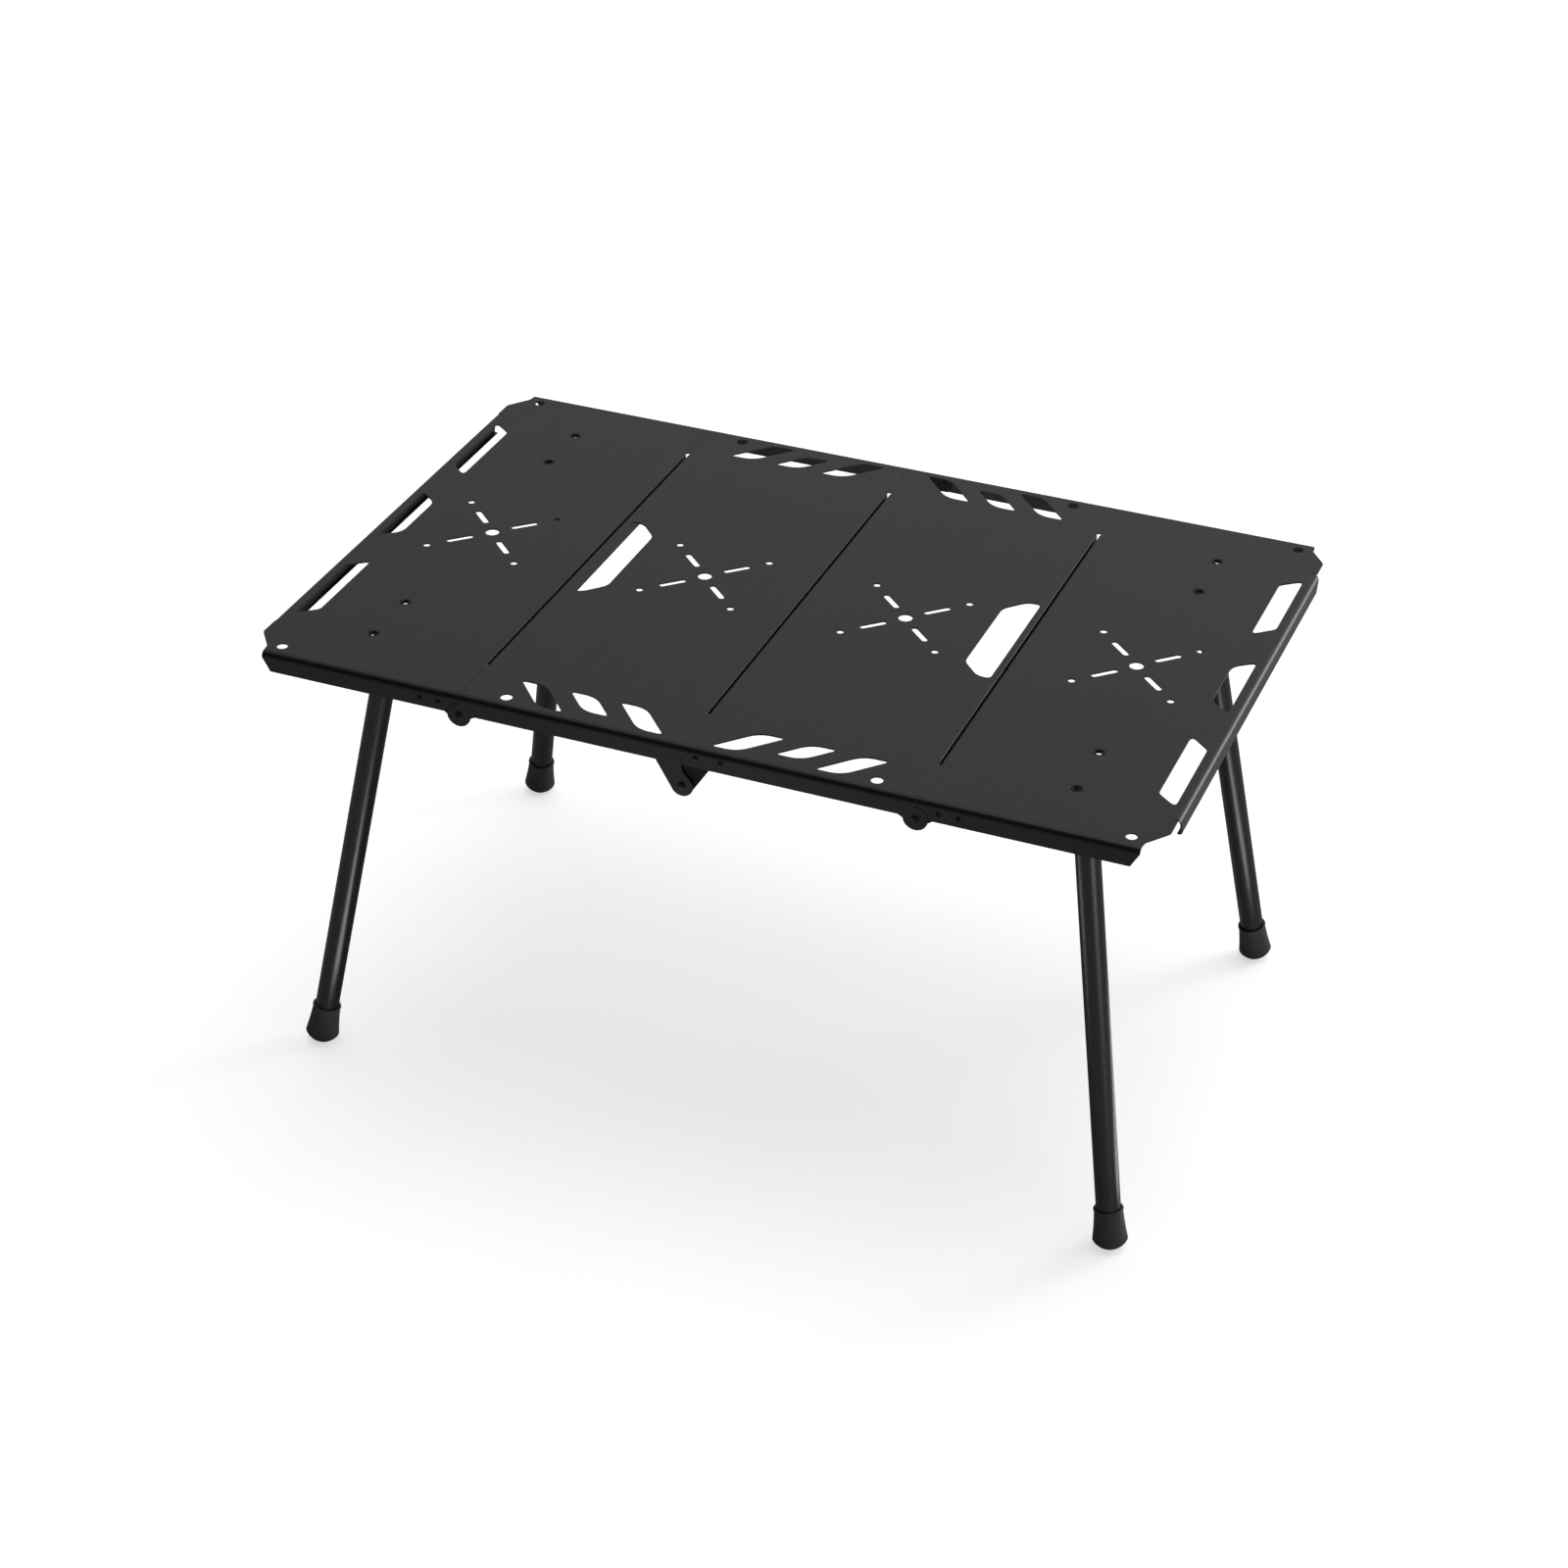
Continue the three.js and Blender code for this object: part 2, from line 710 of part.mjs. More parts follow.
addPair('outer_panel_right', 'outer_panel_left', geometryOf(outerPanel()), coated);
addMesh('inner_panel_right', geometryOf(innerPanel(false)), coated);
addMesh('inner_panel_left', mirroredX(geometryOf(innerPanel(true))), coated);

for (const { name, end } of ends) {
  addPair(`hinge_plate_${name}_right`, `hinge_plate_${name}_left`,
    geometryOf(outerHingePlate(end)), blackSteel);
  addMesh(`hinge_plate_${name}_centre`, geometryOf(centreHingePlate(end)), blackSteel);

  addPair(`pivot_rivet_${name}_right`, `pivot_rivet_${name}_left`,
    wallRivet(seamX, outerPivotDrop, pivotRadius, pivotHead, end, pivotSides), blackSteel);
  addMesh(`pivot_rivet_${name}_centre`,
    wallRivet(0, centrePivotDrop, pivotRadius, pivotHead, end, pivotSides), blackSteel);

  outerHingeRivets.forEach((spot, i) => {
    addPair(`hinge_rivet_${name}_right_${i + 1}`, `hinge_rivet_${name}_left_${i + 1}`,
      wallRivet(spot.x, spot.y, rivetRadius, rivetHead, end, rivetSides), blackSteel);
  });
  centreHingeRivets.forEach((spot, i) => {
    addMesh(`hinge_rivet_${name}_centre_${i + 1}`,
      wallRivet(spot.x, spot.y, rivetRadius, rivetHead, end, rivetSides), blackSteel);
  });

  const layout = legLayout(end);
  addPair(`leg_tube_${name}_right`, `leg_tube_${name}_left`, geometryOf(legTube(layout)), anodised);
  addPair(`leg_plug_${name}_right`, `leg_plug_${name}_left`, geometryOf(legPlug(layout)), plastic);
  addPair(`foot_${name}_right`, `foot_${name}_left`, geometryOf(footCap(layout)), rubber);
  addPair(`leg_bracket_${name}_right`, `leg_bracket_${name}_left`,
    geometryOf(legBracket(layout, end)), blackSteel);
  addPair(`leg_pin_${name}_right`, `leg_pin_${name}_left`, legPin(layout), blackSteel);
  bracketRivetY.forEach((y, i) => {
    addPair(`bracket_rivet_${name}_right_${i + 1}`, `bracket_rivet_${name}_left_${i + 1}`,
      bracketRivet(end * y), blackSteel);
  });
}

export default table;
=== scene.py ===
import json
import math

import bpy
import bmesh
from mathutils import Matrix, Vector
from mathutils.geometry import tessellate_polygon

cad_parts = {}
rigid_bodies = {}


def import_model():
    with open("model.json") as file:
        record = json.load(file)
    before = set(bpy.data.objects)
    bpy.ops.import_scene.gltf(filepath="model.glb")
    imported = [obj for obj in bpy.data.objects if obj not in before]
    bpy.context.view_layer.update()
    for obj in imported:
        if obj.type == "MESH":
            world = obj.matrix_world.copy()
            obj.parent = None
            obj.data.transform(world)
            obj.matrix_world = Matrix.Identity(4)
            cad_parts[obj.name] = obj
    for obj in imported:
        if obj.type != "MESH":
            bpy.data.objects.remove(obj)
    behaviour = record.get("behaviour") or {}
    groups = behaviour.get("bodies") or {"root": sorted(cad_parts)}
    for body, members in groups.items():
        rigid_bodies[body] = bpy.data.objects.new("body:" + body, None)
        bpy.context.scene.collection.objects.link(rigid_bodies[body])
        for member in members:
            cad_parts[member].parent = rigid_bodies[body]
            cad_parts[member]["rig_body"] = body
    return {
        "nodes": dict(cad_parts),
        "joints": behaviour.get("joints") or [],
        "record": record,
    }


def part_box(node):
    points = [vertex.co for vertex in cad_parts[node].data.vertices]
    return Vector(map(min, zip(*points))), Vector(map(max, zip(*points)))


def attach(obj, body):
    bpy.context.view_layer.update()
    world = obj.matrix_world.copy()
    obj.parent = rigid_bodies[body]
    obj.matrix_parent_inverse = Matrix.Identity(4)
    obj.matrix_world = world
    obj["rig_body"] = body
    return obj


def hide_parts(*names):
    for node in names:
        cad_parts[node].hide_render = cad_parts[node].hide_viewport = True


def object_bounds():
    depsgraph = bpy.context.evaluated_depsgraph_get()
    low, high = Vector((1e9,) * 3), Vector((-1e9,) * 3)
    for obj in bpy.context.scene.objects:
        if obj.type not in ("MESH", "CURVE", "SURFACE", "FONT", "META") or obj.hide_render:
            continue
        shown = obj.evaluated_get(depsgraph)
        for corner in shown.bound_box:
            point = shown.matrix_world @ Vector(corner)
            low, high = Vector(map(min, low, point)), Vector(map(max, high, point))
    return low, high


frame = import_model()
cad_low, cad_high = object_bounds()

# ------------------------------------------------------------------ driving dimensions, metres

MM = 0.001
TOP = cad_high.z
HALF_LENGTH = cad_high.x
HALF_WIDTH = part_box("inner_panel_right")[1].y
SHEET = 1.5 * MM
BEND = 6 * MM
LIP_BEND = 3 * MM
FLANGE = 20 * MM
SEAM_BEND = 1.6 * MM
SEAM_GAP = 2.4 * MM
GAP = 0.3 * MM
EDGE_BREAK = 0.15 * MM

JOINTS = {joint["name"]: joint for joint in frame["joints"]}
MOUNTS = {mount["name"]: mount for mount in frame["record"]["mounts"]}
SEAM = JOINTS["seam_right"]["pos_m"][0]
OUTER_PIVOT = Vector((SEAM, JOINTS["seam_right"]["pos_m"][2] - TOP))
CENTRE_PIVOT = Vector((0, JOINTS["seam_centre"]["pos_m"][2] - TOP))
FOOT_SPOT = Vector(MOUNTS["floor_face"]["pos_m"])

SEAM_FLANGE_HALF = 234.2 * MM
RELIEF_Y = 236 * MM
RELIEF_RADIUS = 2.3 * MM
FLANGE_END_TOP = 433 * MM
FLANGE_END_BOTTOM = 425 * MM
SIDE_LIP = 4.5 * MM
SIDE_FLANGE_TOP_HALF = 241 * MM
SIDE_FLANGE_FOOT_HALF = 234.3 * MM
CORNER_EDGE = 450.5 * MM
LOBE = 12 * MM
CENTRE_LOBE = 11 * MM
NOTCH = 12.6 * MM
PLATE_THICKNESS = 1.5 * MM
PIVOT_RADIUS = 2.5 * MM
RIVET_RADIUS = 1.6 * MM
OUTER_RIVETS = [(SEAM + 21 * MM, -11.5 * MM), (SEAM + 40 * MM, -11.5 * MM)]
CENTRE_RIVETS = [(13.5 * MM, -10 * MM), (38 * MM, -10 * MM)]
PIVOT_HEAD = (3.6 * MM, 0.9 * MM)
RIVET_HEAD = (2.5 * MM, 0.7 * MM)

INNER_CROSS_X = 105.3 * MM
OUTER_CROSS_X = 337.9 * MM
EDGE_HOLE = (183.5 * MM, 283.9 * MM, 5.8 * MM)
CORNER_HOLE = (420 * MM, 282.8 * MM, 5.3 * MM)

TUBE = 12 * MM
TUBE_WALL = 1.5 * MM
PIN_RADIUS = 3 * MM
BRACKET_X = 352 * MM
BRACKET_Y = (161.6 * MM, 227.4 * MM)
BRACKET_BASE = 1.2 * MM
BRACKET_RIVET = 4.4 * MM
BRACKET_BORE = 3.8 * MM
PIN_HEAD = (4.6 * MM, 1.6 * MM)
CHEEK_INNER = 12.6 * MM
CHEEK_OUTER = 14.6 * MM
FOOT_HEIGHT = 42.8 * MM
SKIRT_TOP = 38.5 * MM
TUBE_END = 9 * MM

ROUND = 32
BEND_STEPS = 10
HOLE_SIDES = 36
RIVET_SIDES = 20

CAMERA_SPOT = Vector((1.0447, -2.6745, 1.6145 + TOP))
CAMERA_AZIMUTH = 21.684
CAMERA_ELEVATION = 32.533
CAMERA_ROLL = 0.702
CAMERA_LENS = 77.433

FLOOR_TONE = 0.68
FLOOR_GLOW = 0.62
SUN_STRENGTH = 1.05
SIDE_POWER = 6
RIM_POWER = 30
LOW_POWER = 0.8
FRONT_SKY = 0.03
BACK_SKY = 0.76

# ------------------------------------------------------------------ camera


def make_camera():
    """The photograph's view: seen from the front right and above, with a slight roll."""
    azimuth = math.radians(CAMERA_AZIMUTH)
    elevation = math.radians(CAMERA_ELEVATION)
    roll = math.radians(CAMERA_ROLL)
    data = bpy.data.cameras.new("camera")
    data.sensor_width = 36
    data.lens = CAMERA_LENS
    camera = bpy.data.objects.new("camera", data)
    camera.location = CAMERA_SPOT
    look = Vector((
        -math.sin(azimuth) * math.cos(elevation),
        math.cos(azimuth) * math.cos(elevation),
        -math.sin(elevation),
    ))
    upright = look.to_track_quat("-Z", "Y")
    camera.rotation_mode = "QUATERNION"
    camera.rotation_quaternion = upright @ Matrix.Rotation(roll, 4, "Z").to_quaternion()
    bpy.context.scene.collection.objects.link(camera)
    bpy.context.scene.camera = camera


# ------------------------------------------------------------------ outlines


def arc(cx, cy, radius, start, end, steps):
    """Points on an arc, angles in degrees."""
    turns = [math.radians(start + (end - start) * i / steps) for i in range(steps + 1)]
    return [(cx + radius * math.cos(a), cy + radius * math.sin(a)) for a in turns]


def circle(cx, cy, radius, sides=ROUND):
    return arc(cx, cy, radius, 0, 360 - 360 / sides, sides - 1)


def rounded(corners, cuts, steps=6):
    """A polygon with eased corners; cuts says how far from each corner its curve starts."""
    points = []
    for i, (corner, cut) in enumerate(zip(corners, cuts)):
        corner = Vector(corner)
        before = (Vector(corners[i - 1]) - corner).normalized() * cut + corner
        after = (Vector(corners[(i + 1) % len(corners)]) - corner).normalized() * cut + corner
        for k in range(steps + 1):
            t = k / steps
            point = before * (1 - t) ** 2 + corner * 2 * t * (1 - t) + after * t ** 2
            points.append((point.x, point.y))
    return points


def capsule(start, end, width, steps=10):
    angle = math.degrees(math.atan2(end[1] - start[1], end[0] - start[0]))
    tip = arc(end[0], end[1], width / 2, angle - 90, angle + 90, steps)
    tail = arc(start[0], start[1], width / 2, angle + 90, angle + 270, steps)
    return tip + tail


def flip_x(points):
    return [(-x, y) for x, y in points]


def flip_y(points):
    return [(x, -y) for x, y in points]


def area(loop):
    return sum(a[0] * b[1] - b[0] * a[1] for a, b in zip(loop, loop[1:] + loop[:1])) / 2


def inset(loop, distance):
    """The loop moved to its left by a distance, with mitred corners."""
    moved = []
    for i, here in enumerate(loop):
        here = Vector(here)
        into = (here - Vector(loop[i - 1])).normalized()
        out = (Vector(loop[(i + 1) % len(loop)]) - here).normalized()
        left_in = Vector((-into.y, into.x))
        left_out = Vector((-out.y, out.x))
        middle = (left_in + left_out).normalized()
        reach = distance / max(0.35, middle.dot(left_in))
        moved.append(tuple(here + middle * reach))
    return moved


# ------------------------------------------------------------------ mesh building


class Shell:
    """Collects closed shells, each placed by a matrix, into one mesh object."""

    def __init__(self):
        self.mesh = bmesh.new()

    def ring(self, points, place):
        return [self.mesh.verts.new(place @ Vector(point)) for point in points]

    def bridge(self, low, high):
        for i in range(len(low)):
            k = (i + 1) % len(low)
            self.mesh.faces.new((low[i], low[k], high[k], high[i]))

    def plate(self, loops, low, high, place=Matrix.Identity(4), edge=EDGE_BREAK):
        """A flat plate from low to high, the first loop its outline and the rest its holes."""
        turned = []
        for i, loop in enumerate(loops):
            clockwise = area(loop) < 0
            turned.append(loop[::-1] if clockwise == (i == 0) else list(loop))
        levels = [(low, edge), (low + edge, 0), (high - edge, 0), (high, edge)]
        rings = []
        for loop in turned:
            narrow = inset(loop, edge)
            rings.append([
                self.ring([(x, y, z) for x, y in (narrow if step else loop)], place)
                for z, step in levels
            ])
        for stack in rings:
            for lower, upper in zip(stack, stack[1:]):
                self.bridge(lower, upper)
        for level, reverse in ((0, True), (-1, False)):
            flat = [inset(loop, edge) for loop in turned]
            vertices = [vertex for stack in rings for vertex in stack[level]]
            for tri in tessellate_polygon([[Vector((x, y, 0)) for x, y in loop] for loop in flat]):
                self.cap([vertices[i] for i in tri], reverse, flat, tri)

    def cap(self, corners, reverse, flat, tri):
        points = [point for loop in flat for point in loop]
        a, b, c = (Vector(points[i]) for i in tri)
        turn = (b - a).cross(c - a)
        if abs(turn) < 1e-14:
            return
        if (turn < 0) != reverse:
            corners = corners[::-1]
        self.mesh.faces.new(corners)

    def sweep(self, section, low, high, place=Matrix.Identity(4), cut_back=lambda y: 0):
        """A closed section drawn out along local Z; both ends may be cut back by height."""
        section = section if area(section) > 0 else section[::-1]
        bottom = self.ring([(x, y, low + cut_back(y)) for x, y in section], place)
        top = self.ring([(x, y, high - cut_back(y)) for x, y in section], place)
        self.bridge(bottom, top)
        flat = [Vector((x, y, 0)) for x, y in section]
        for tri in tessellate_polygon([flat]):
            self.cap([bottom[i] for i in tri], True, [section], tri)
            self.cap([top[i] for i in tri], False, [section], tri)

    def turn(self, profile, place=Matrix.Identity(4), sides=ROUND):
        """A turned solid about local Z; the profile runs upwards outside and may close on itself."""
        columns = []
        for i in range(sides):
            angle = 2 * math.pi * i / sides
            columns.append((math.cos(angle), math.sin(angle)))
        rings = []
        for radius, height in profile:
            if radius < 1e-7:
                rings.append([self.mesh.verts.new(place @ Vector((0, 0, height)))])
            else:
                points = [(radius * c, radius * s, height) for c, s in columns]
                rings.append(self.ring(points, place))
        pairs = list(zip(rings, rings[1:]))
        if profile[0][0] > 1e-7:
            pairs.append((rings[-1], rings[0]))
        for lower, upper in pairs:
            if len(lower) == 1:
                for i in range(sides):
                    self.mesh.faces.new((lower[0], upper[(i + 1) % sides], upper[i]))
            elif len(upper) == 1:
                for i in range(sides):
                    self.mesh.faces.new((lower[i], lower[(i + 1) % sides], upper[0]))
            else:
                self.bridge(lower, upper)

    def finish(self, name, material, sharp=28):
        bmesh.ops.remove_doubles(self.mesh, verts=self.mesh.verts, dist=1e-7)
        bmesh.ops.recalc_face_normals(self.mesh, faces=self.mesh.faces)
        data = bpy.data.meshes.new(name)
        self.mesh.to_mesh(data)
        self.mesh.free()
        for polygon in data.polygons:
            polygon.use_smooth = True
        data.set_sharp_from_angle(angle=math.radians(sharp))
        data.materials.append(material)
        piece = bpy.data.objects.new(name, data)
        bpy.context.scene.collection.objects.link(piece)
        return piece


LIFT = Matrix.Translation((0, 0, TOP))
# Local X, Y, Z of a drawing laid in the XZ plane, or in the YZ plane, of the table
IN_XZ = LIFT @ Matrix(((1, 0, 0, 0), (0, 0, -1, 0), (0, 1, 0, 0), (0, 0, 0, 1)))
IN_YZ = LIFT @ Matrix(((0, 0, 1, 0), (1, 0, 0, 0), (0, 1, 0, 0), (0, 0, 0, 1)))
MIRROR = Matrix.Scale(-1, 4, (1, 0, 0))


def place_piece(shell, node, material):
    """Finishes a shell as the piece that stands for a CAD node, riding on that node's body."""
    piece = shell.finish(node + "_detail", material)
    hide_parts(node)
    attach(piece, frame["nodes"][node]["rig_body"])
    return piece


# ------------------------------------------------------------------ materials


def srgb(level):
    """Linear value of a grey given as 0 to 255."""
    value = level / 255
    return value / 12.92 if value <= 0.04045 else ((value + 0.055) / 1.055) ** 2.4


class Finish:
    """A node material with a few helpers to keep each recipe short."""

    def __init__(self, name):
        self.material = bpy.data.materials.new(name)
        self.material.use_nodes = True
        self.tree = self.material.node_tree
        self.shader = self.tree.nodes["Principled BSDF"]
        self.coordinates = self.tree.nodes.new("ShaderNodeTexCoord").outputs["Object"]

    def node(self, kind, **inputs):
        made = self.tree.nodes.new(kind)
        for key, value in inputs.items():
            self.feed(made.inputs[key.replace("_", " ")], value)
        return made

    def feed(self, socket, value):
        if isinstance(value, bpy.types.NodeSocket):
            self.tree.links.new(value, socket)
        else:
            socket.default_value = value

    def noise(self, scale, detail=4.0, roughness=0.55, stretch=(1, 1, 1)):
        mapping = self.node("ShaderNodeMapping", Vector=self.coordinates, Scale=stretch)
        return self.node("ShaderNodeTexNoise", Vector=mapping.outputs["Vector"], Scale=scale,
                         Detail=detail, Roughness=roughness).outputs["Fac"]

    def spread(self, value, low, high, start=0.3, stop=0.7):
        """Maps a texture value onto a range."""
        made = self.tree.nodes.new("ShaderNodeMapRange")
        made.clamp = True
        self.feed(made.inputs["Value"], value)
        made.inputs["From Min"].default_value = start
        made.inputs["From Max"].default_value = stop
        made.inputs["To Min"].default_value = low
        made.inputs["To Max"].default_value = high
        return made.outputs["Result"]

    def facing(self, low, high, start, stop):
        """Maps how far the surface turns away from the viewer onto a range."""
        turned = self.tree.nodes.new("ShaderNodeLayerWeight").outputs["Facing"]
        return self.spread(turned, low, high, start, stop)

    def grey(self, value):
        return self.node("ShaderNodeCombineColor", Red=value, Green=value, Blue=value).outputs["Color"]

    def bump(self, height, depth, strength=1.0, below=None):
        made = self.node("ShaderNodeBump", Height=height, Distance=depth, Strength=strength)
        if below is not None:
            self.tree.links.new(below, made.inputs["Normal"])
        return made.outputs["Normal"]

    def multiply(self, a, b):
        made = self.tree.nodes.new("ShaderNodeMath")
        made.operation = "MULTIPLY"
        self.feed(made.inputs[0], a)
        self.feed(made.inputs[1], b)
        return made.outputs["Value"]


def powder_coat():
    """Fine matt powder coat: orange peel, cloudy gloss and a few faint rub marks."""
    finish = Finish("powder_coat")
    shader = finish.shader
    cloud = finish.noise(9, 3, 0.6)
    rubs = finish.noise(60, 6, 0.7, (1, 0.12, 1))
    finish.feed(shader.inputs["Base Color"], finish.grey(finish.spread(cloud, srgb(12), srgb(15))))
    finish.feed(shader.inputs["Roughness"], finish.spread(rubs, 0.40, 0.43))
    finish.feed(shader.inputs["Specular IOR Level"], finish.facing(0.32, 0.10, 0.55, 0.85))
    peel = finish.bump(finish.noise(1500, 2, 0.5), 0.03 * MM, 0.5)
    grain = finish.bump(finish.noise(5200, 2, 0.6), 0.012 * MM, 0.6, peel)
    finish.feed(shader.inputs["Normal"], grain)
    return finish.material


def black_anodised():
    """Drawn aluminium tube, satin black, with faint draw lines along its length."""
    finish = Finish("black_anodised")
    shader = finish.shader
    lines = finish.noise(900, 4, 0.6, (1, 1, 0.01))
    patch = finish.noise(22, 3, 0.6)
    finish.feed(shader.inputs["Base Color"], finish.grey(finish.spread(patch, srgb(4), srgb(8))))
    finish.feed(shader.inputs["Specular IOR Level"], finish.facing(0.5, 0.04, 0.15, 0.75))
    finish.feed(shader.inputs["Roughness"], finish.spread(lines, 0.26, 0.36))
    finish.feed(shader.inputs["Normal"], finish.bump(lines, 0.01 * MM, 0.5))
    return finish.material


def black_steel():
    """Coated steel hardware, slightly glossier than the sheet."""
    finish = Finish("black_steel")
    shader = finish.shader
    patch = finish.noise(120, 4, 0.6)
    finish.feed(shader.inputs["Base Color"], finish.grey(finish.spread(patch, srgb(3), srgb(6))))
    shader.inputs["Specular IOR Level"].default_value = 0.14
    finish.feed(shader.inputs["Roughness"], finish.spread(patch, 0.34, 0.48))
    finish.feed(shader.inputs["Normal"], finish.bump(finish.noise(2600, 3, 0.6), 0.015 * MM, 0.6))
    return finish.material


def foot_rubber():
    """Moulded rubber: matt, grainy, dustier in patches."""
    finish = Finish("foot_rubber")
    shader = finish.shader
    dust = finish.noise(45, 5, 0.65)
    finish.feed(shader.inputs["Base Color"], finish.grey(finish.spread(dust, srgb(44), srgb(53))))
    finish.feed(shader.inputs["Roughness"], finish.spread(dust, 0.62, 0.82))
    shader.inputs["Specular IOR Level"].default_value = 0.4
    coarse = finish.bump(finish.noise(700, 3, 0.6), 0.06 * MM, 0.5)
    fine = finish.bump(finish.noise(3000, 2, 0.6), 0.02 * MM, 0.6, coarse)
    finish.feed(shader.inputs["Normal"], fine)
    return finish.material


def plug_plastic():
    """Moulded plug in the tube's end."""
    finish = Finish("plug_plastic")
    shader = finish.shader
    patch = finish.noise(80, 4, 0.6)
    finish.feed(shader.inputs["Base Color"], finish.grey(finish.spread(patch, srgb(10), srgb(15))))
    finish.feed(shader.inputs["Roughness"], finish.spread(patch, 0.42, 0.55))
    finish.feed(shader.inputs["Normal"], finish.bump(finish.noise(1800, 2, 0.5), 0.02 * MM, 0.5))
    return finish.material


# ------------------------------------------------------------------ panels


def bent_section(edge, drop, lip, radius=BEND):
    """A bent edge in section, u outwards and z up from the face.

    A drop of 0 leaves only the bend, and a lip of 0 leaves a plain flange.
    """
    start = edge - radius
    foot_start = edge - LIP_BEND
    outside = arc(start, -radius, radius, 90, 0, BEND_STEPS)
    inside = arc(start, -radius, radius - SHEET, 0, 90, BEND_STEPS)
    if drop == 0:
        return outside + inside
    if lip == 0:
        half = SHEET / 2
        return outside + arc(edge - half, half - drop, half, 0, -180, 8) + inside
    foot = arc(foot_start, LIP_BEND - drop, LIP_BEND, 0, -90, BEND_STEPS)
    foot += rounded_lip(edge - lip, -drop)
    foot += arc(foot_start, LIP_BEND - drop, LIP_BEND - SHEET, -90, 0, BEND_STEPS)
    return outside + foot + inside


def rounded_lip(u, z):
    """The eased free edge of a return lip."""
    half = SHEET / 2
    return arc(u + half * 0.5, z + half, half, 250, 110, 5)


def cross_pattern(cx):
    """Round hole in the middle, four bars on the diagonals and four dots beyond them."""
    bar_start = (16 * MM, 17.5 * MM)
    bar_end = (31.5 * MM, 32.5 * MM)
    dot = (48.2 * MM, 49.9 * MM)
    loops = [circle(cx, 0, 7 * MM, 40)]
    for sx in (1, -1):
        for sy in (1, -1):
            start = (cx + sx * bar_start[0], sy * bar_start[1])
            end = (cx + sx * bar_end[0], sy * bar_end[1])
            loops.append(capsule(start, end, 6 * MM))
            loops.append(circle(cx + sx * dot[0], sy * dot[1], 3.5 * MM, 28))
    return loops


def leaning_slots():
    """Three leaning slots along the front edge; the middle one is shorter."""
    top = -250.5 * MM
    sharp = 6 * MM
    blunt = 12 * MM
    loops = []
    for i in range(3):
        bottom = (-278.5 if i == 1 else -288) * MM
        top_left = (56.7 + i * 50.6) * MM
        bottom_left = top_left + (bottom - top) / 1.12
        width = 26 * MM
        corners = [(bottom_left, bottom), (bottom_left + width, bottom), (top_left + width, top),
                   (top_left, top)]
        loops.append(rounded(corners, [sharp, blunt, sharp, blunt]))
    return loops


def scaled(points):
    return [(x * MM, y * MM) for x, y in points]


HANDLE_SLOT = scaled(rounded([(185.5, -55), (205, -76), (218, -76), (218, 76), (205, 76),
                              (185.5, 55)], [7, 7, 5, 5, 7, 7]))
SIDE_SLOT = scaled(rounded([(421.5, 101), (421.5, 206), (441.5, 222), (441.5, 119)], [8, 4, 8, 4]))
MIDDLE_SIDE_SLOT = scaled(rounded([(421.5, -35), (421.5, 35), (441.5, 50), (441.5, -50)],
                                  [9, 9, 7, 7]))


def seam_edge(x, facing):
    """Outline of the flat sheet along a seam, from -Y to +Y, around the relief holes."""
    edge = x - facing * GAP / 2
    fold = x - facing * (SEAM_GAP / 2 + SEAM_BEND - EDGE_BREAK)
    straight = HALF_WIDTH - BEND + EDGE_BREAK
    relief = arc(x, -RELIEF_Y, RELIEF_RADIUS, 270, 270 - 90 * facing, 6)
    half = [(edge, -straight), (edge, -RELIEF_Y - RELIEF_RADIUS)]
    half += [point for point in relief if facing * (edge - point[0]) > 0]
    half.append((fold, -SEAM_FLANGE_HALF))
    return half + flip_y(half[::-1])


def add_walls(shell, loops, side):
    """The same wall at the front and the back, its outer faces at the table's half width."""
    for end in (-1, 1):
        low = HALF_WIDTH - SHEET
        place = side @ IN_XZ @ Matrix.Scale(-end, 4, (0, 0, 1))
        shell.plate(loops, low, HALF_WIDTH, place)


def add_end_bends(shell, start, stop, side):
    section = bent_section(HALF_WIDTH, 0, 0)
    for outline in (section, flip_x(section)):
        shell.sweep(outline, start, stop, side @ IN_YZ)


def add_seam_flange(shell, x, facing, side):
    section = bent_section(facing * x - SEAM_GAP / 2, FLANGE, 0, SEAM_BEND)
    outline = section if facing > 0 else flip_x(section)
    shell.sweep(outline, -SEAM_FLANGE_HALF, SEAM_FLANGE_HALF, side @ IN_XZ)


def side_cut_back(height):
    """How far the side flange's slanting ends stand back at a height below the face."""
    slope = (SIDE_FLANGE_TOP_HALF - SIDE_FLANGE_FOOT_HALF) / (FLANGE - SHEET)
    return max(0, -SHEET - height) * slope


def add_side_flange(shell, side):
    section = bent_section(HALF_LENGTH, FLANGE, SIDE_LIP)
    half = SIDE_FLANGE_TOP_HALF
    shell.sweep(section, -half, half, side @ IN_XZ, side_cut_back)


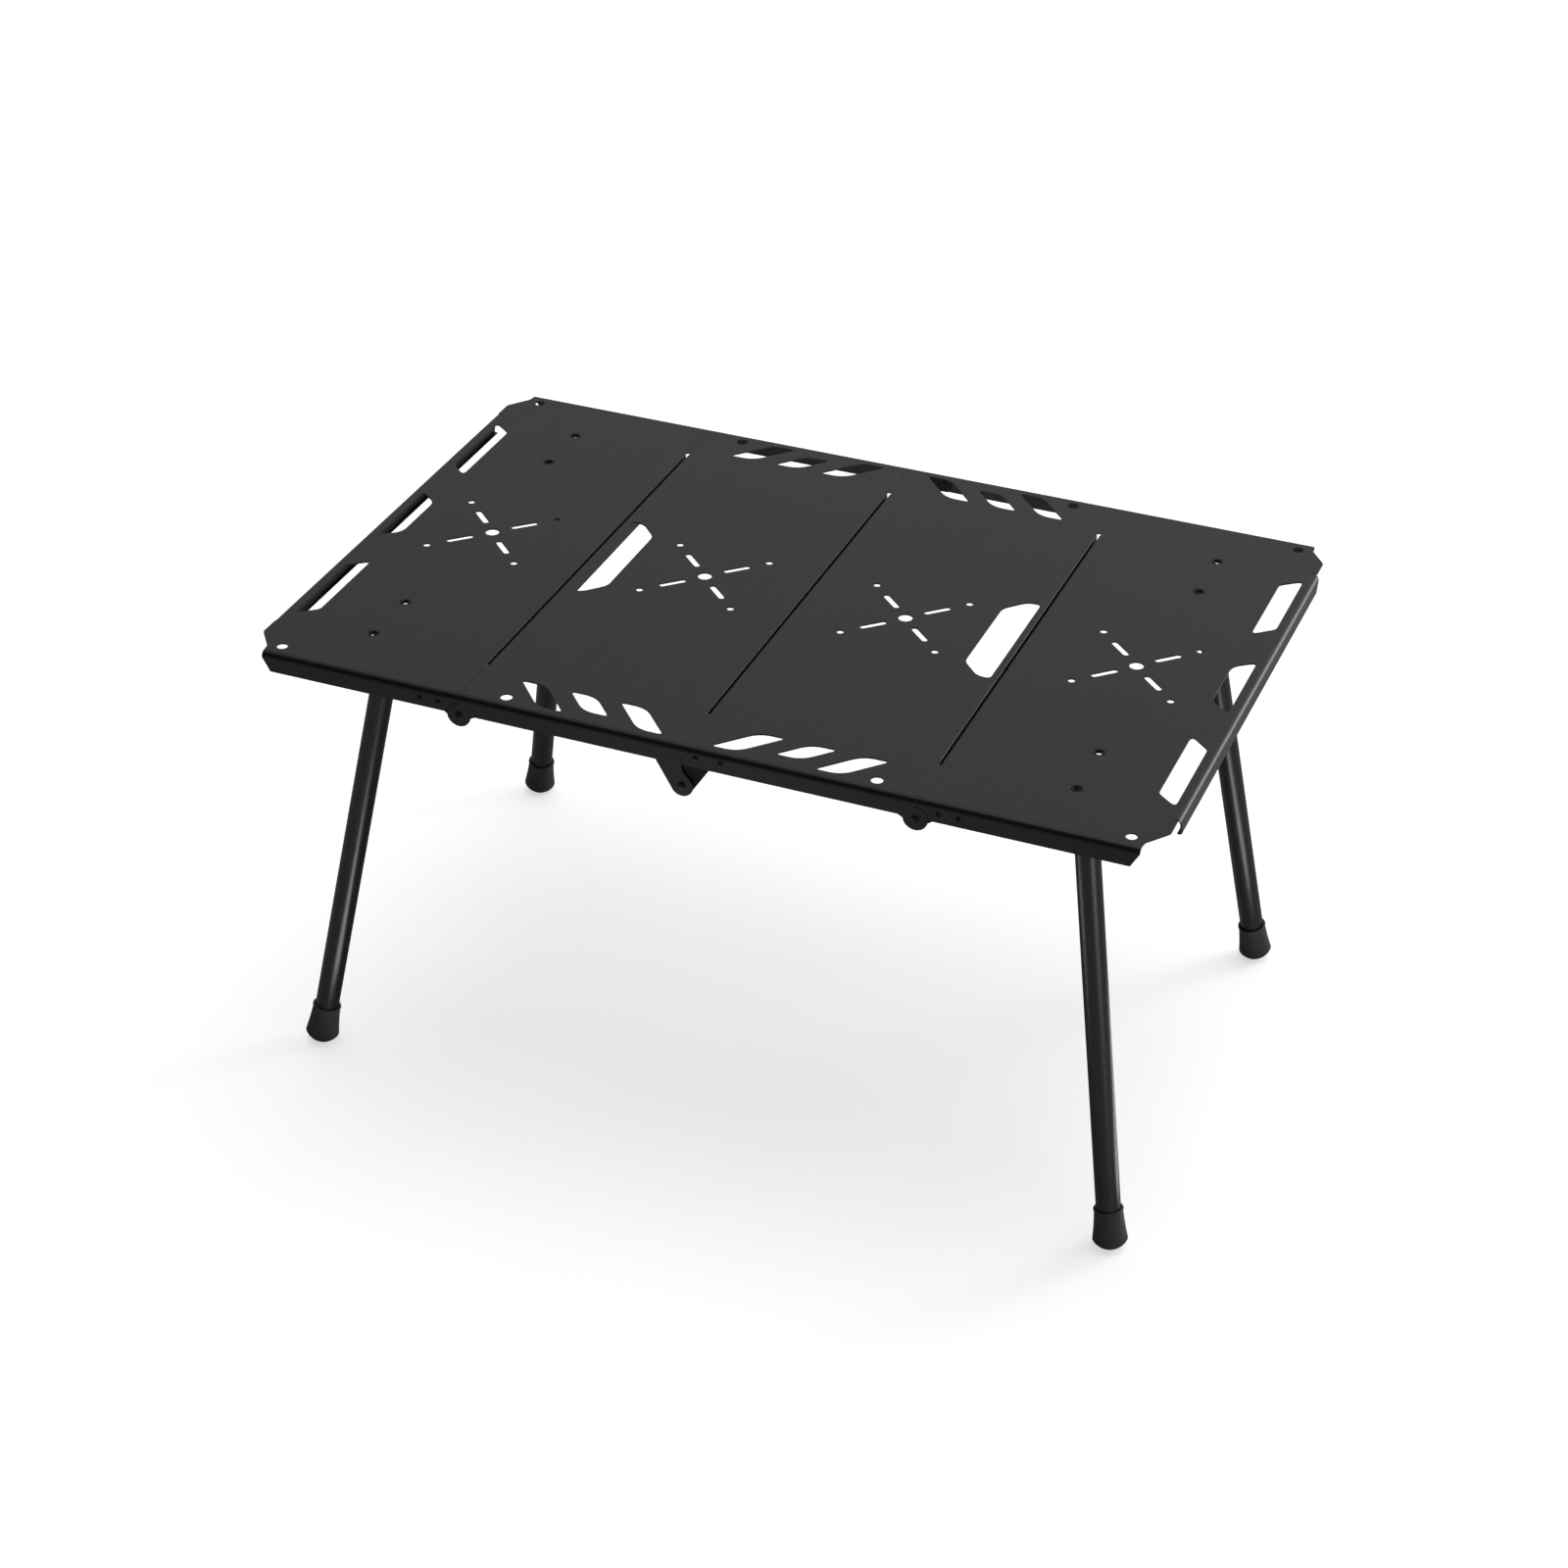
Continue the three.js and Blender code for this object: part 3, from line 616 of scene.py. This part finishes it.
def inner_panel(material, side, with_lug):
    """The right inner panel, or its mirror image with the middle lug for the left."""
    shell = Shell()
    near = GAP / 2
    far = SEAM - GAP / 2
    outline = seam_edge(0, -1)[::-1] + seam_edge(SEAM, 1)
    edge_hole = circle(*EDGE_HOLE, HOLE_SIDES)
    holes = [HANDLE_SLOT, edge_hole, flip_y(edge_hole)]
    holes += cross_pattern(INNER_CROSS_X) + leaning_slots() + [flip_y(s) for s in leaning_slots()]
    shell.plate([outline] + holes, -SHEET, 0, side @ LIFT)
    lobe = arc(OUTER_PIVOT.x, OUTER_PIVOT.y, LOBE, 188, 450, 36)
    lug = [(near, -FLANGE)]
    bores = [circle(OUTER_PIVOT.x, OUTER_PIVOT.y, PIVOT_RADIUS + GAP)]
    if with_lug:
        tip = arc(CENTRE_PIVOT.x, CENTRE_PIVOT.y, CENTRE_LOBE, 137, 329.6, 28)
        lug = [(near, -22.5 * MM), (-0.6 * MM, -27 * MM)] + tip + [(26 * MM, -FLANGE)]
        bores.append(circle(CENTRE_PIVOT.x, CENTRE_PIVOT.y, PIVOT_RADIUS + GAP))
    else:
        bores += [circle(x, z, RIVET_RADIUS + GAP, RIVET_SIDES) for x, z in CENTRE_RIVETS]
    top = EDGE_BREAK - BEND
    wall = [(near, top)] + lug + [(SEAM - 16.5 * MM, -FLANGE)] + lobe
    wall += [(far, OUTER_PIVOT.y + LOBE), (far, top)]
    add_walls(shell, [wall] + bores, side)
    add_end_bends(shell, near, far, side)
    add_seam_flange(shell, SEAM, 1, side)
    add_seam_flange(shell, 0, -1, side)
    name = "inner_panel_left" if with_lug else "inner_panel_right"
    place_piece(shell, name, material)


def outer_panel(material, side, name):
    shell = Shell()
    near = SEAM + GAP / 2
    fold = HALF_LENGTH - BEND
    straight = HALF_WIDTH - BEND + EDGE_BREAK
    slit = 0.5 * MM
    slit_round = arc(fold - slit, SIDE_FLANGE_TOP_HALF + slit, slit, 270, 90, 8)
    # Only the stretch of the eased polygon that lies between the slit and the front bend
    corner = rounded([
        (CORNER_EDGE, SIDE_FLANGE_TOP_HALF + 3 * slit),
        (CORNER_EDGE, 265 * MM),
        (FLANGE_END_TOP + 1 * MM, 287 * MM),
        (FLANGE_END_TOP, straight),
    ], [1 * MM, 2 * MM, 2 * MM, 2 * MM], 4)[3:-5]
    quarter = [(fold + EDGE_BREAK, SIDE_FLANGE_TOP_HALF)] + slit_round + corner
    quarter += [(FLANGE_END_TOP, straight)]
    outline = seam_edge(SEAM, -1) + quarter[::-1] + flip_y(quarter)
    corner_hole = circle(*CORNER_HOLE, HOLE_SIDES)
    holes = [corner_hole, flip_y(corner_hole), MIDDLE_SIDE_SLOT, SIDE_SLOT, flip_y(SIDE_SLOT)]
    holes += cross_pattern(OUTER_CROSS_X)
    for y in BRACKET_Y:
        holes += [circle(BRACKET_X, sign * y, BRACKET_RIVET + 1.4 * MM) for sign in (1, -1)]
    shell.plate([outline] + holes, -SHEET, 0, side @ LIFT)
    notch = arc(OUTER_PIVOT.x, OUTER_PIVOT.y, NOTCH, 89.3, 4.5, 20)
    top = EDGE_BREAK - BEND
    wall = [(near, top)] + notch + [(SEAM + NOTCH, -FLANGE), (FLANGE_END_BOTTOM, -FLANGE),
                                    (FLANGE_END_TOP, top)]
    bores = [circle(x, z, RIVET_RADIUS + GAP, RIVET_SIDES) for x, z in OUTER_RIVETS]
    add_walls(shell, [wall] + bores, side)
    add_end_bends(shell, near, FLANGE_END_TOP, side)
    add_seam_flange(shell, SEAM, -1, side)
    add_side_flange(shell, side)
    place_piece(shell, name, material)


# ------------------------------------------------------------------ hinge plates and rivets

PLATE_FACE = HALF_WIDTH - SHEET - GAP - PLATE_THICKNESS


def hinge_plate(node, outline, bores, end, side, material):
    shell = Shell()
    place = side @ IN_XZ @ Matrix.Scale(-end, 4, (0, 0, 1))
    shell.plate([outline] + bores, PLATE_FACE, PLATE_FACE + PLATE_THICKNESS, place)
    place_piece(shell, node, material)


def outer_plate_drawing():
    low = -FLANGE + 0.5 * MM
    outline = arc(OUTER_PIVOT.x, OUTER_PIVOT.y, 10 * MM, 110, 290, 24)
    outline += [(SEAM + 18 * MM, low)]
    outline += arc(SEAM + 44 * MM, low + 4 * MM, 4 * MM, -90, 0, 8)
    outline += arc(SEAM + 44 * MM, -10 * MM, 4 * MM, 0, 90, 8)
    outline += [(SEAM + 12 * MM, -6 * MM)]
    bores = [circle(x, z, RIVET_RADIUS + GAP, RIVET_SIDES) for x, z in OUTER_RIVETS]
    bores.append(circle(OUTER_PIVOT.x, OUTER_PIVOT.y, PIVOT_RADIUS + GAP))
    return outline, bores


def centre_plate_drawing():
    low = -FLANGE + 0.5 * MM
    outline = arc(CENTRE_PIVOT.x, CENTRE_PIVOT.y, 10.6 * MM, 165, 330, 24)
    outline += [(27 * MM, -FLANGE)]
    outline += arc(42 * MM, low + 4 * MM, 4 * MM, -90, 0, 8)
    outline += arc(42 * MM, -10 * MM, 4 * MM, 0, 90, 8)
    outline += [(3 * MM, -6 * MM)]
    bores = [circle(x, z, RIVET_RADIUS + GAP, RIVET_SIDES) for x, z in CENTRE_RIVETS]
    bores.append(circle(CENTRE_PIVOT.x, CENTRE_PIVOT.y, PIVOT_RADIUS + GAP))
    return outline, bores


def wall_rivet(node, x, z, shank, head_size, end, side, material):
    """A low domed head outside the wall, a shank and a rolled head behind the plate."""
    head, height = head_size
    outer = HALF_WIDTH + GAP
    inner = PLATE_FACE - GAP
    dome = [(head * math.cos(a), outer + height * (0.25 + 0.75 * math.sin(a)))
            for a in (math.pi / 2 * i / 8 for i in range(9))]
    profile = [(0, inner - height), (head * 0.8, inner - height), (head, inner - height * 0.6),
               (head, inner), (shank, inner), (shank, outer), (head, outer)]
    profile += dome[:-1] + [(0, outer + height)]
    shell = Shell()
    place = side @ LIFT @ Matrix.Translation((x, 0, z))
    place = place @ Matrix.Rotation(math.pi / 2 if end < 0 else -math.pi / 2, 4, "X")
    shell.turn(profile, place, 28)
    place_piece(shell, node, material)


# ------------------------------------------------------------------ legs


class Leg:
    """A leg's own frame: origin on the pin, Z up along the tube, X along the pin."""

    def __init__(self, end_name, side_name):
        joint = JOINTS[f"leg_fold_{end_name}_{side_name}"]
        self.end = -1 if end_name == "front" else 1
        self.side = 1 if side_name == "right" else -1
        self.tag = f"{end_name}_{side_name}"
        self.pivot = Vector(joint["pos_m"])
        foot = Vector((self.side * FOOT_SPOT.x, self.end * FOOT_SPOT.y, 0))
        self.up = (self.pivot - foot).normalized()
        self.length = (self.pivot - foot).length
        self.axis = Vector(joint["axis"]).normalized()
        self.across = self.up.cross(self.axis)
        columns = Matrix((self.axis, self.across, self.up)).transposed()
        self.place = Matrix.Translation(self.pivot) @ columns.to_4x4()


def leg_tube(leg, material):
    bottom = TUBE_END - leg.length
    top = 4 * MM
    bore = TUBE - TUBE_WALL
    ease = 0.3 * MM
    profile = [(bore, bottom), (TUBE, bottom), (TUBE, top - ease), (TUBE - ease, top),
               (bore + ease, top), (bore, top - ease)]
    shell = Shell()
    shell.turn(profile, leg.place, 48)
    place_piece(shell, "leg_tube_" + leg.tag, material)


def leg_plug(leg, material):
    dome = 12.6 * MM
    seat = 4.3 * MM
    start = math.degrees(math.asin(seat / dome))
    profile = [(0, -20 * MM), (9.6 * MM, -20 * MM), (10.2 * MM, -19 * MM), (10.2 * MM, seat)]
    profile += arc(0, 0, dome, start, 90, 14)[:-1] + [(0, dome)]
    shell = Shell()
    shell.turn(profile, leg.place, 40)
    place_piece(shell, "leg_plug_" + leg.tag, material)


def foot_cap(leg, material):
    """Rubber foot: beaded rim, tapered skirt, ringed ball that is flat where it stands."""
    base = -leg.length
    ball = 19 * MM
    ball_height = 17.6 * MM
    rim = 14 * MM
    widest = math.asin((9.2 * MM - ball_height) / ball)
    profile = []
    steps = 26
    for i in range(steps + 1):
        angle = -math.pi / 2 + (widest + math.pi / 2) * i / steps
        groove = 0.5 * MM * max(0, math.sin(9 * math.pi * i / steps)) if 5 < i < 21 else 0
        radius = ball - groove
        profile.append((radius * math.cos(angle), ball_height + radius * math.sin(angle)))
    profile[0] = (0, profile[0][1])
    skirt = profile[-1]
    skirt_steps = 8
    for i in range(1, skirt_steps + 1):
        t = i / skirt_steps
        hollow = 0.35 * MM * math.sin(math.pi * t)
        radius = skirt[0] + (rim - skirt[0]) * t - hollow
        profile.append((radius, skirt[1] + (SKIRT_TOP - skirt[1]) * t))
    profile += arc(rim - 0.5 * MM, FOOT_HEIGHT - 1.6 * MM, 1.1 * MM, -60, 90, 8)
    profile += [(12.3 * MM, FOOT_HEIGHT - 0.6 * MM), (12.3 * MM, 8.7 * MM), (0, 8.7 * MM)]
    profile = [(radius, height + base) for radius, height in profile]
    shell = Shell()
    shell.turn(profile, leg.place, 56)
    for vertex in shell.mesh.verts:
        vertex.co.z = max(vertex.co.z, 0)
    place_piece(shell, "foot_" + leg.tag, material)


def leg_bracket(leg, material):
    """A pressed bracket: riveted base, two cheeks square to the pin and a stop web between."""
    base_top = -SHEET - GAP
    base_low = base_top - BRACKET_BASE
    near, far = BRACKET_Y
    shell = Shell()
    corners = [
        (leg.side * (BRACKET_X - 17 * MM), leg.end * (near - 10 * MM)),
        (leg.side * (BRACKET_X + 13 * MM), leg.end * (near - 10 * MM)),
        (leg.side * (BRACKET_X + 13 * MM), leg.end * (far + 10 * MM)),
        (leg.side * (BRACKET_X - 17 * MM), leg.end * (far + 10 * MM)),
    ]
    holes = [circle(leg.side * BRACKET_X, leg.end * y, BRACKET_RIVET + GAP) for y in BRACKET_Y]
    shell.plate([rounded(corners, [6 * MM] * 4)] + holes, base_low, base_top, LIFT)

    def height_at(x, y):
        """Local height at which the cheek meets the middle of the base."""
        target = TOP + (base_low + base_top) / 2 - leg.pivot.z
        return (target - x * leg.axis.z - y * leg.across.z) / leg.up.z

    upright = leg.place @ Matrix(((0, 0, 1, 0), (1, 0, 0, 0), (0, 1, 0, 0), (0, 0, 0, 1)))
    for low, high in ((CHEEK_INNER, CHEEK_OUTER), (-CHEEK_OUTER, -CHEEK_INNER)):
        middle = (low + high) / 2
        outline = [(18 * MM, height_at(middle, 18 * MM)), (15 * MM, 2 * MM)]
        outline += arc(0, 0, 9 * MM, 0, -180, 24)
        outline += [(-15 * MM, 2 * MM), (-18 * MM, height_at(middle, -18 * MM))]
        shell.plate([outline, circle(0, 0, PIN_RADIUS + GAP, 24)], low, high, upright)
    outward = 1 if leg.across.y * leg.end > 0 else -1
    inner, outer = outward * 13 * MM, outward * 15 * MM
    web = [(inner, -2 * MM), (inner, height_at(0, inner)), (outer, height_at(0, outer)),
           (outer, -2 * MM)]
    web_half = CHEEK_INNER + 0.5 * MM
    shell.plate([web], -web_half, web_half, upright)
    place_piece(shell, "leg_bracket_" + leg.tag, material)


def leg_pin(leg, material):
    head, height = PIN_HEAD
    shoulder = CHEEK_OUTER + GAP
    end = shoulder + height
    half = [(PIN_RADIUS, shoulder), (head, shoulder), (head, end - 0.9 * MM),
            (head * 0.86, end - 0.3 * MM), (head * 0.55, end), (0, end)]
    profile = [(radius, -reach) for radius, reach in reversed(half)] + half
    shell = Shell()
    place = leg.place @ Matrix.Rotation(math.pi / 2, 4, "Y")
    shell.turn(profile, place, 32)
    place_piece(shell, "leg_pin_" + leg.tag, material)


def bracket_rivet(leg, index, material):
    """Eyelet: countersunk mouth in the sheet, open bore, rolled edge below."""
    bottom = -(SHEET + GAP + BRACKET_BASE + GAP)
    low = bottom - 0.5 * MM
    bore = BRACKET_BORE
    shank = BRACKET_RIVET
    roll = shank + 1.2 * MM
    profile = [
        (bore, -0.4 * MM),
        (bore, low + 0.2 * MM),
        (bore + 0.2 * MM, low),
        (roll - 0.4 * MM, low),
        (roll, low + 0.2 * MM),
        (roll, bottom),
        (shank, bottom),
        (shank, -1 * MM),
        (shank + 1 * MM, -0.1 * MM),
        (shank + 0.8 * MM, 0),
        (bore + 0.4 * MM, 0),
    ]
    shell = Shell()
    y = leg.end * BRACKET_Y[index]
    shell.turn(profile, LIFT @ Matrix.Translation((leg.side * BRACKET_X, y, 0)), 32)
    place_piece(shell, f"bracket_rivet_{leg.tag}_{index + 1}", material)


# ------------------------------------------------------------------ assembly of the table


def build_table():
    coat = powder_coat()
    steel = black_steel()
    tube = black_anodised()
    rubber = foot_rubber()
    plastic = plug_plastic()
    straight = Matrix.Identity(4)
    inner_panel(coat, straight, False)
    inner_panel(coat, MIRROR, True)
    outer_panel(coat, straight, "outer_panel_right")
    outer_panel(coat, MIRROR, "outer_panel_left")
    for end_name, end in (("front", -1), ("back", 1)):
        for side_name, side in (("right", straight), ("left", MIRROR)):
            tag = f"{end_name}_{side_name}"
            hinge_plate("hinge_plate_" + tag, *outer_plate_drawing(), end, side, steel)
            wall_rivet("pivot_rivet_" + tag, *OUTER_PIVOT, PIVOT_RADIUS, PIVOT_HEAD, end, side, steel)
            for i, (x, z) in enumerate(OUTER_RIVETS):
                name = f"hinge_rivet_{tag}_{i + 1}"
                wall_rivet(name, x, z, RIVET_RADIUS, RIVET_HEAD, end, side, steel)
            leg = Leg(end_name, side_name)
            leg_tube(leg, tube)
            leg_plug(leg, plastic)
            foot_cap(leg, rubber)
            leg_bracket(leg, steel)
            leg_pin(leg, steel)
            for index in range(len(BRACKET_Y)):
                bracket_rivet(leg, index, steel)
        tag = f"{end_name}_centre"
        hinge_plate("hinge_plate_" + tag, *centre_plate_drawing(), end, straight, steel)
        wall_rivet("pivot_rivet_" + tag, *CENTRE_PIVOT, PIVOT_RADIUS, PIVOT_HEAD, end, straight, steel)
        for i, (x, z) in enumerate(CENTRE_RIVETS):
            name = f"hinge_rivet_{tag}_{i + 1}"
            wall_rivet(name, x, z, RIVET_RADIUS, RIVET_HEAD, end, straight, steel)


# ------------------------------------------------------------------ floor and light


def make_floor():
    data = bpy.data.meshes.new("floor")
    reach = 30
    data.from_pydata([(-reach, -reach, 0), (reach, -reach, 0), (reach, reach, 0),
                      (-reach, reach, 0)], [], [(0, 1, 2, 3)])
    floor = bpy.data.objects.new("floor", data)
    bpy.context.scene.collection.objects.link(floor)
    finish = Finish("studio_floor")
    finish.feed(finish.shader.inputs["Base Color"], (FLOOR_TONE, FLOOR_TONE, FLOOR_TONE, 1))
    finish.shader.inputs["Roughness"].default_value = 0.9
    finish.shader.inputs["Specular IOR Level"].default_value = 0.1
    finish.feed(finish.shader.inputs["Emission Color"], (1, 1, 1, 1))
    seen = finish.tree.nodes.new("ShaderNodeLightPath").outputs["Is Camera Ray"]
    finish.feed(finish.shader.inputs["Emission Strength"], finish.multiply(seen, FLOOR_GLOW))
    data.materials.append(finish.material)


def softbox(name, location, aim, width, height, power):
    data = bpy.data.lights.new(name, "AREA")
    data.shape = "RECTANGLE"
    data.size = width
    data.size_y = height
    data.energy = power
    light = bpy.data.objects.new(name, data)
    light.location = location
    light.rotation_mode = "QUATERNION"
    light.rotation_quaternion = (Vector(aim) - Vector(location)).to_track_quat("-Z", "Y")
    light.visible_camera = True
    bpy.context.scene.collection.objects.link(light)
    return light


def floor_light(name, x, y, width, height, turn):
    """A weak light just above the floor, facing up and unseen by the camera."""
    light = softbox(name, (x, y, 4 * MM), (x, y, 1), width, height, LOW_POWER)
    light.rotation_mode = "XYZ"
    light.rotation_euler = (math.pi, 0, math.radians(turn))
    light.visible_camera = False


def sun(direction, strength, angle):
    data = bpy.data.lights.new("sun", "SUN")
    data.energy = strength
    data.angle = math.radians(angle)
    light = bpy.data.objects.new("sun", data)
    light.rotation_mode = "QUATERNION"
    light.rotation_quaternion = (-Vector(direction)).to_track_quat("-Z", "Y")
    bpy.context.scene.collection.objects.link(light)


def ramp(tree, value, start, stop, low, high):
    made = tree.nodes.new("ShaderNodeMapRange")
    made.interpolation_type = "SMOOTHSTEP"
    tree.links.new(value, made.inputs["Value"])
    made.inputs["From Min"].default_value = start
    made.inputs["From Max"].default_value = stop
    made.inputs["To Min"].default_value = low
    made.inputs["To Max"].default_value = high
    return made.outputs["Result"]


def make_light():
    """A wide overhead light, a bright backdrop behind, softboxes at the right, a dark front."""
    sun((0.05, 0.3, 2.7), SUN_STRENGTH, 45)
    softbox("side", (1.85, -1.2, 0.26), (0, 0, 0.26), 0.9, 0.45, SIDE_POWER)
    softbox("rim", (2.1, 2.3, 0.85), (0.45, 0, 0.47), 0.9, 0.9, RIM_POWER)
    floor_light("low", -0.19, -0.46, 0.36, 0.12, -40)
    floor_light("low right", 0.56, -0.02, 0.12, 0.36, 0)
    world = bpy.data.worlds.new("studio")
    bpy.context.scene.world = world
    world.use_nodes = True
    tree = world.node_tree
    where = tree.nodes.new("ShaderNodeTexCoord")
    split = tree.nodes.new("ShaderNodeSeparateXYZ")
    tree.links.new(where.outputs["Generated"], split.inputs["Vector"])
    behind = ramp(tree, split.outputs["Y"], -0.15, 0.75, FRONT_SKY, BACK_SKY)
    right = ramp(tree, split.outputs["X"], -0.8, 0.5, 0.75, 1.35)
    product = tree.nodes.new("ShaderNodeMath")
    product.operation = "MULTIPLY"
    tree.links.new(behind, product.inputs[0])
    tree.links.new(right, product.inputs[1])
    backdrop = tree.nodes.new("ShaderNodeMix")
    seen = tree.nodes.new("ShaderNodeLightPath").outputs["Is Camera Ray"]
    tree.links.new(seen, backdrop.inputs["Factor"])
    tree.links.new(product.outputs["Value"], backdrop.inputs["A"])
    backdrop.inputs["B"].default_value = 1
    background = tree.nodes["Background"]
    background.inputs["Color"].default_value = (1, 1, 1, 1)
    tree.links.new(backdrop.outputs["Result"], background.inputs["Strength"])
    bpy.context.scene.view_settings.view_transform = "Standard"


make_camera()
make_floor()
make_light()
build_table()
